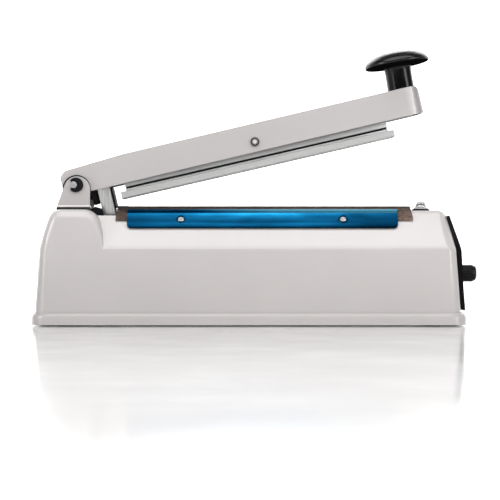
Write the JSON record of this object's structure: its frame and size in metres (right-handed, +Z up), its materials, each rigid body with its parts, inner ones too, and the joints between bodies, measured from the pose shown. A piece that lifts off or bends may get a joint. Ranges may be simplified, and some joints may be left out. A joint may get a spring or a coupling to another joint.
{
  "type": "impulse heat sealer",
  "caption": "Hand impulse heat sealer: long casing with a seal bar on top, a hinged press arm with a round handle knob, and a timer knob on one end.",
  "frame": {"origin": "on the table under the middle of the object's length and depth", "axes": "+X from the hinge to the timer knob end, +Y away from the operator, +Z up"},
  "size_m": [0.3311, 0.08, 0.2066],
  "materials": {
    "painted_casing": "satin paint",
    "painted_arm": "satin paint",
    "painted_bracket": "satin paint",
    "zinc_steel": "zinc plated",
    "bright_screw": "plated",
    "lever_steel": "brushed",
    "spring_steel": "oiled",
    "band_alloy": "bare resistance alloy",
    "core_steel": "varnished laminations",
    "bare_aluminium": "extruded",
    "blue_anodised": "blue anodised",
    "coil_copper": "enamelled copper wire",
    "black_plastic": "moulded",
    "black_clip": "black oxide",
    "handle_black": "gloss moulded",
    "board_green": "solder resist",
    "connector_white": "moulded",
    "red_lens": "clear red",
    "black_rubber": "matt",
    "silicone": "matt",
    "glass_tape": "woven",
    "ptfe_cloth": "coated glass cloth"
  },
  "bodies": {
    "base": {"upper_casing": "painted_casing", "base_plate": "zinc_steel", "rubber_foot_1": "black_rubber", "rubber_foot_2": "black_rubber", "rubber_foot_3": "black_rubber", "rubber_foot_4": "black_rubber", "base_screw_1": "zinc_steel", "base_screw_2": "zinc_steel", "base_screw_3": "zinc_steel", "base_screw_4": "zinc_steel", "heater_bed": "bare_aluminium", "insulation_strip": "glass_tape", "heating_band": "band_alloy", "ptfe_cloth": "ptfe_cloth", "front_clamp_strip": "blue_anodised", "rear_clamp_strip": "blue_anodised", "front_strip_screw_1": "bright_screw", "front_strip_screw_2": "bright_screw", "rear_strip_screw_1": "bright_screw", "rear_strip_screw_2": "bright_screw", "terminal_insulator": "black_plastic", "terminal_nut": "bright_screw", "terminal_screw_right": "bright_screw", "terminal_screw_left": "bright_screw", "terminal_anchor": "black_plastic", "slot_liner": "black_plastic", "hinge_bracket": "painted_bracket", "bracket_screw_1": "zinc_steel", "bracket_screw_2": "zinc_steel", "hinge_pin": "bright_screw", "e_clip_front": "black_clip", "e_clip_rear": "black_clip", "return_spring": "spring_steel", "side_panel": "black_plastic", "panel_screw_1": "zinc_steel", "panel_screw_2": "zinc_steel", "indicator_lens": "red_lens", "potentiometer": "zinc_steel", "timer_board": "board_green", "transformer_core": "core_steel", "transformer_coil": "coil_copper", "microswitch": "black_plastic", "switch_bracket": "zinc_steel", "switch_screw": "zinc_steel", "terminal_block": "connector_white", "cord_gland": "black_plastic", "gland_nut": "black_plastic"},
    "arm": {"arm_channel": "painted_arm", "switch_lever": "lever_steel", "lever_guard": "black_plastic", "rubber_bumper": "black_rubber", "handle_knob": "handle_black", "handle_screw": "zinc_steel", "pivot_screw": "bright_screw", "pivot_nut": "bright_screw"},
    "press_bar": {"press_bar": "bare_aluminium", "silicone_strip": "silicone"},
    "timer": {"timer_knob": "black_plastic", "timer_shaft": "zinc_steel"},
    "switch": {"switch_blade": "spring_steel"}
  },
  "joints": [
    {"name": "arm_hinge", "type": "hinge", "parent": "base", "child": "arm", "pos_m": [-0.136, 0, 0.1042], "axis": [0, 1, 0], "range_deg": [0, 11.9], "stiffness_Nm_per_rad": 2, "springref_deg": -45.84, "deforming": ["return_spring"]},
    {"name": "press_bar_tilt", "type": "hinge", "parent": "arm", "child": "press_bar", "pos_m": [-0.00116, 0, 0.13669], "axis": [0, 1, 0], "range_deg": [0, 1]},
    {"name": "timer_knob_turn", "type": "hinge", "parent": "base", "child": "timer", "pos_m": [0.16, 0, 0.0383], "axis": [-1, 0, 0], "range_deg": [0, 270]},
    {"name": "switch_blade_press", "type": "hinge", "parent": "base", "child": "switch", "pos_m": [-0.0995, 0, 0.0688], "axis": [0, -1, 0], "range_deg": [0, 11.5]}
  ],
  "couplings": [
    {"joint": "press_bar_tilt", "follows": "arm_hinge", "ratio": 0.084},
    {"joint": "switch_blade_press", "follows": "arm_hinge", "ratio": 0.966}
  ]
}
